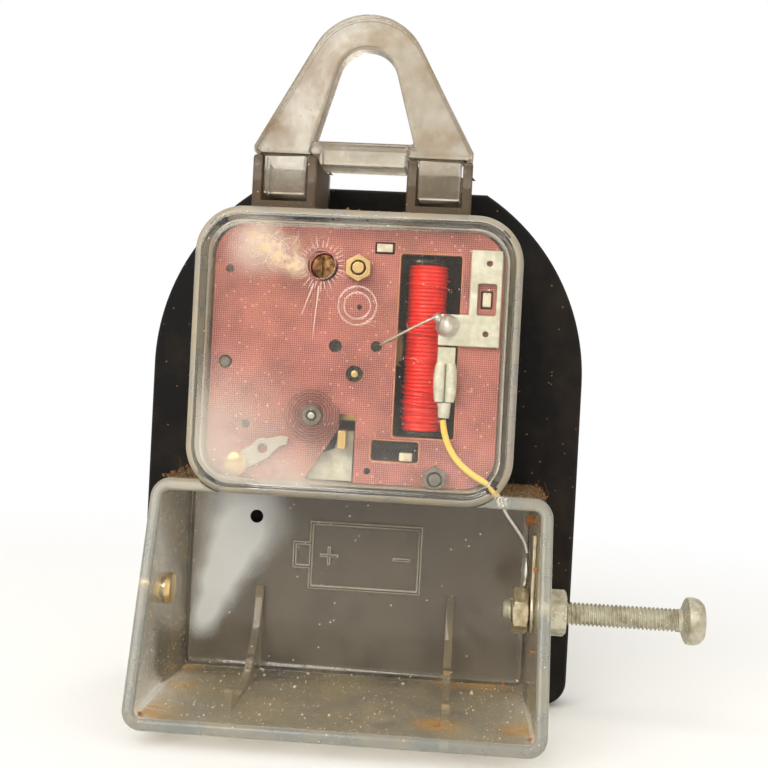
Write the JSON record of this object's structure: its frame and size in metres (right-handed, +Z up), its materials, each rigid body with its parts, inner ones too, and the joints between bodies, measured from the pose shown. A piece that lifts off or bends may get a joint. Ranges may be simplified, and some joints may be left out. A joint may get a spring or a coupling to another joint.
{
  "type": "battery clock and timer movement",
  "caption": "Electromechanical clock movement in a clear case with open battery box, hanging loop, black arched dial plate, coil, balance and screw contact.",
  "frame": {"origin": "Top inside of the hanging loop, midway through the loop thickness, where the clock hangs on its nail.", "axes": "+Z up as it hangs, +X to the right seen from the service side, +Y towards the dial. The service side with the coil faces -Y."},
  "size_m": [0.1025, 0.0469, 0.123],
  "materials": {
    "clear_plastic": "yellowed, dusty clear polystyrene",
    "black_plate": "matt black, dusty brown at the edge",
    "dial_card": "matt cream",
    "brass": "satin, slightly tarnished",
    "steel": "satin",
    "zinc": "dull zinc plate with pale oxide",
    "iron": "dark",
    "laminate": "red-brown fabric laminate, fine weave",
    "enamelled_copper": "red enamelled wire in close turns",
    "white_plastic": "matt off-white",
    "solder": "smooth grey solder",
    "yellow_sleeve": "soft yellow insulation"
  },
  "bodies": {
    "case": {"clear_case": "clear_plastic", "movement_cover": "clear_plastic", "hanging_loop": "clear_plastic", "arched_plate": "black_plate", "dial": "dial_card", "dial_nut": "brass", "centre_bush": "brass", "front_plate": "brass", "pertinax_plate": "laminate", "pillar_top": "brass", "pillar_right": "steel", "pillar_left": "steel", "pillar_nut_brass": "brass", "pillar_nut_steel": "steel", "index_cock": "brass", "hairspring": "steel", "stud_carrier": "zinc", "hairspring_stud": "brass", "coil_bobbin": "iron", "coil_winding": "enamelled_copper", "coil_core": "iron", "coil_carrier": "white_plastic", "terminal_bracket": "zinc", "solder_joint": "solder", "crimp_terminal": "zinc", "link_wire": "zinc", "yellow_lead": "yellow_sleeve", "inner_nut": "zinc", "outer_nut": "zinc", "solder_tag": "zinc", "tag_solder": "solder", "contact_rivet": "brass"},
    "minute_works": {"centre_wheel": "brass", "cannon_pinion": "steel", "minute_hand": "black_plate", "hand_cap": "brass"},
    "hour_works": {"hour_wheel": "brass", "hour_hand": "black_plate"},
    "minute_wheel": {"minute_wheel": "brass"},
    "third_wheel": {"third_wheel": "brass"},
    "second_wheel": {"second_wheel": "brass"},
    "index_wheel": {"index_wheel": "brass"},
    "balance": {"balance_wheel": "brass", "balance_staff": "steel", "collet": "steel"},
    "regulator_screw": {"regulator_screw": "brass"},
    "regulator_lever": {"regulator_arm": "steel"},
    "contact_screw": {"contact_screw": "zinc"}
  },
  "joints": [
    {"name": "minute_turn", "type": "hinge", "parent": "case", "child": "minute_works", "pos_m": [0.0007, 0.00525, -0.0565], "axis": [0, 1, 0], "continuous": true},
    {"name": "hour_turn", "type": "hinge", "parent": "case", "child": "hour_works", "pos_m": [0.0007, 0.00525, -0.0565], "axis": [0, 1, 0], "continuous": true},
    {"name": "minute_wheel_turn", "type": "hinge", "parent": "case", "child": "minute_wheel", "pos_m": [0.0043, 0.00525, -0.06273], "axis": [0, 1, 0], "continuous": true},
    {"name": "third_wheel_turn", "type": "hinge", "parent": "case", "child": "third_wheel", "pos_m": [0.0042, 0.00525, -0.0517], "axis": [0, 1, 0], "continuous": true},
    {"name": "second_wheel_turn", "type": "hinge", "parent": "case", "child": "second_wheel", "pos_m": [-0.0028, 0.00525, -0.0519], "axis": [0, 1, 0], "continuous": true},
    {"name": "index_wheel_turn", "type": "hinge", "parent": "case", "child": "index_wheel", "pos_m": [-0.0079, 0.00525, -0.057], "axis": [0, 1, 0], "continuous": true},
    {"name": "balance_swing", "type": "hinge", "parent": "case", "child": "balance", "pos_m": [-0.0061, 0.00525, -0.06387], "axis": [0, 1, 0], "range_deg": [-200, 200], "stiffness_Nm_per_rad": 0.00002},
    {"name": "regulator_turn", "type": "hinge", "parent": "case", "child": "regulator_screw", "pos_m": [-0.00537, 0.00525, -0.03853], "axis": [0, 1, 0], "range_deg": [-60, 60]},
    {"name": "regulator_lever_turn", "type": "hinge", "parent": "case", "child": "regulator_lever", "pos_m": [-0.0188, 0.00525, -0.07274], "axis": [0, 1, 0], "range_deg": [-7, 7]},
    {"name": "contact_screw_feed", "type": "slide", "parent": "case", "child": "contact_screw", "axis": [-1, 0, 0], "range_m": [-0.004, 0.018]}
  ],
  "couplings": [
    {"joint": "hour_turn", "follows": "minute_turn", "ratio": 0.083333},
    {"joint": "minute_wheel_turn", "follows": "minute_turn", "ratio": -0.33333},
    {"joint": "third_wheel_turn", "follows": "minute_turn", "ratio": -3.2},
    {"joint": "second_wheel_turn", "follows": "minute_turn", "ratio": 5.9429},
    {"joint": "index_wheel_turn", "follows": "minute_turn", "ratio": -9.3388},
    {"joint": "regulator_lever_turn", "follows": "regulator_turn", "ratio": 0.11667}
  ]
}
